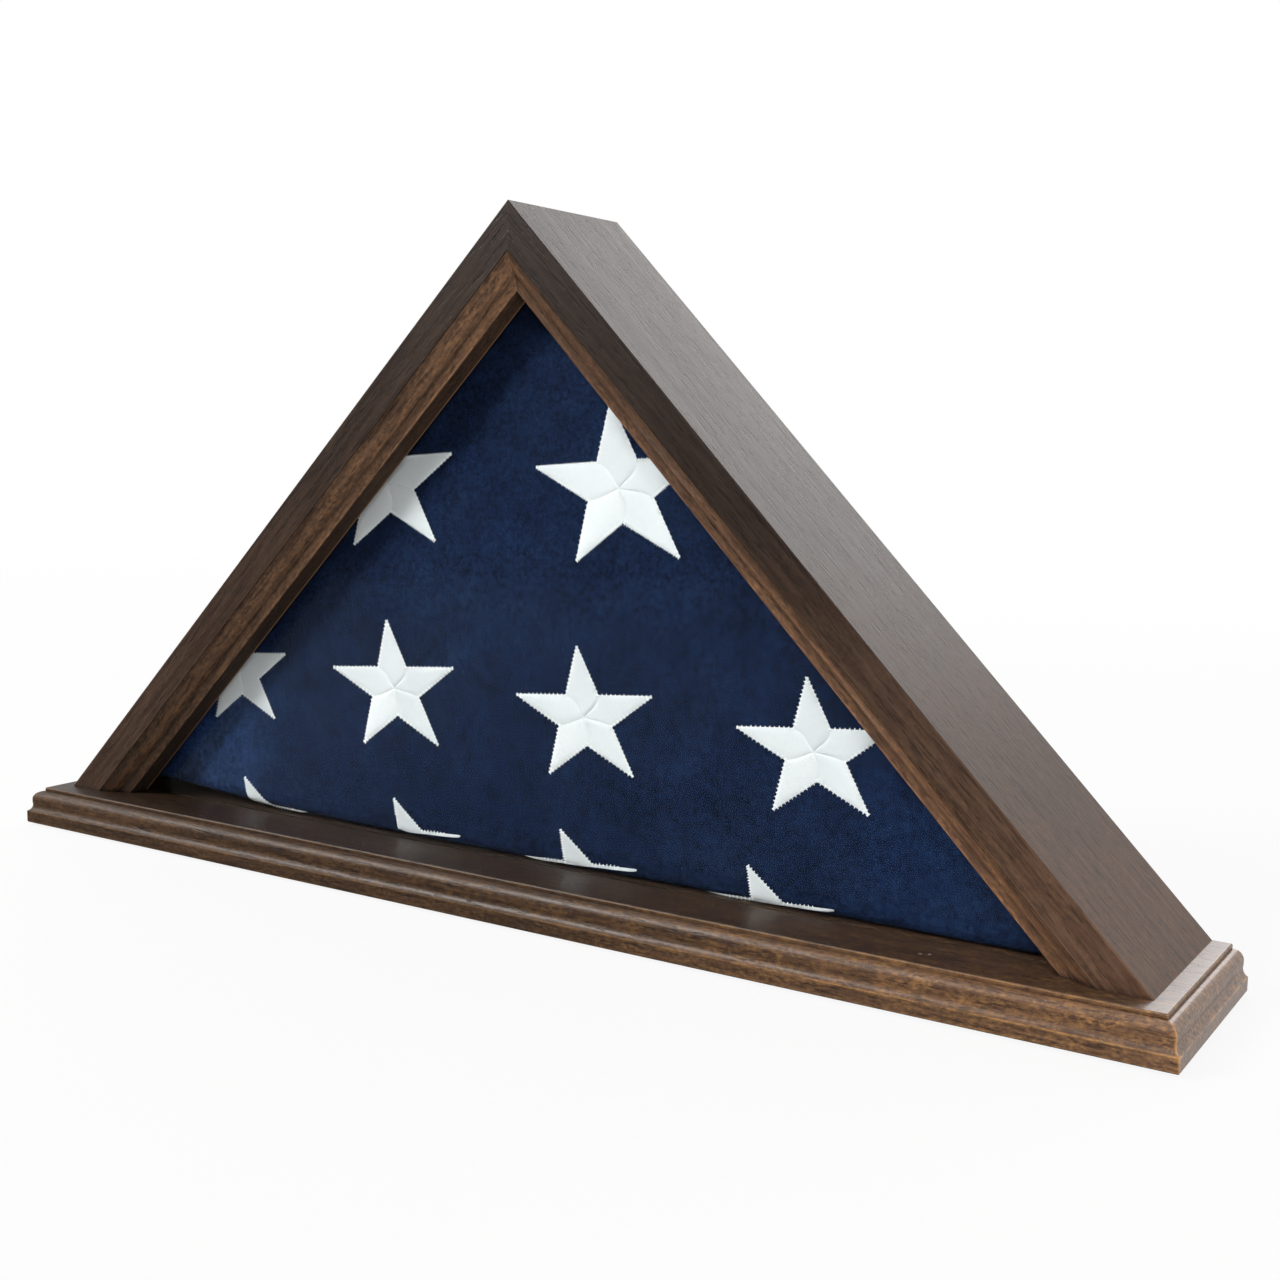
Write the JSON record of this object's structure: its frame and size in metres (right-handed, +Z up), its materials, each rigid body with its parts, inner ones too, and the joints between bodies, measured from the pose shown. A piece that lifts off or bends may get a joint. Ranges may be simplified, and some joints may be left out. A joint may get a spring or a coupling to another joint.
{
  "type": "folded flag display case",
  "caption": "Triangular wooden display case on a moulded plinth, with a folded navy flag behind glass and a back door hinged at its foot.",
  "frame": {"origin": "on the ground plane, at the middle of the overall box in X and Y", "axes": "+X along the plinth to the viewer's right, +Y from the glass front to the back door, +Z up"},
  "size_m": [0.667, 0.1128, 0.339],
  "materials": {
    "frame_wood": "dark walnut stain under satin lacquer",
    "inner_wood": "dark walnut stain, thin lacquer",
    "back_panel": "thin plywood with walnut stain",
    "glass": "clear picture glass",
    "flag_cloth": "woven cotton, navy with white embroidered stars",
    "felt": "dark felt",
    "hinge_brass": "polished brass",
    "steel": "zinc plated steel"
  },
  "bodies": {
    "case": {"apex_biscuits": "inner_wood", "back_left_pad": "felt", "back_right_pad": "felt", "base_plinth": "frame_wood", "base_screws": "steel", "catch_magnet": "steel", "catch_rail": "inner_wood", "door_stop_brads": "steel", "folded_flag": "flag_cloth", "front_left_pad": "felt", "front_right_pad": "felt", "glass_bead_brads": "steel", "glass_pane": "glass", "hinge_plinth_screws": "hinge_brass", "left_corner_block": "inner_wood", "left_door_stop": "inner_wood", "left_front_moulding": "frame_wood", "left_glass_bead": "inner_wood", "left_hinge_pin": "hinge_brass", "left_hinge_plinth_leaf": "hinge_brass", "left_side_board": "frame_wood", "right_corner_block": "inner_wood", "right_door_stop": "inner_wood", "right_front_moulding": "frame_wood", "right_glass_bead": "inner_wood", "right_hinge_pin": "hinge_brass", "right_hinge_plinth_leaf": "hinge_brass", "right_side_board": "frame_wood"},
    "back_door": {"back_door_panel": "back_panel", "strike_disc": "steel", "strike_screw": "steel", "left_hinge_door_leaf": "hinge_brass", "right_hinge_door_leaf": "hinge_brass", "hinge_door_screws": "hinge_brass"}
  },
  "joints": [
    {"name": "back_door_hinge", "type": "hinge", "parent": "case", "child": "back_door", "pos_m": [0, 0.0544, 0.02225], "axis": [-1, 0, 0], "range_deg": [0, 90]}
  ]
}
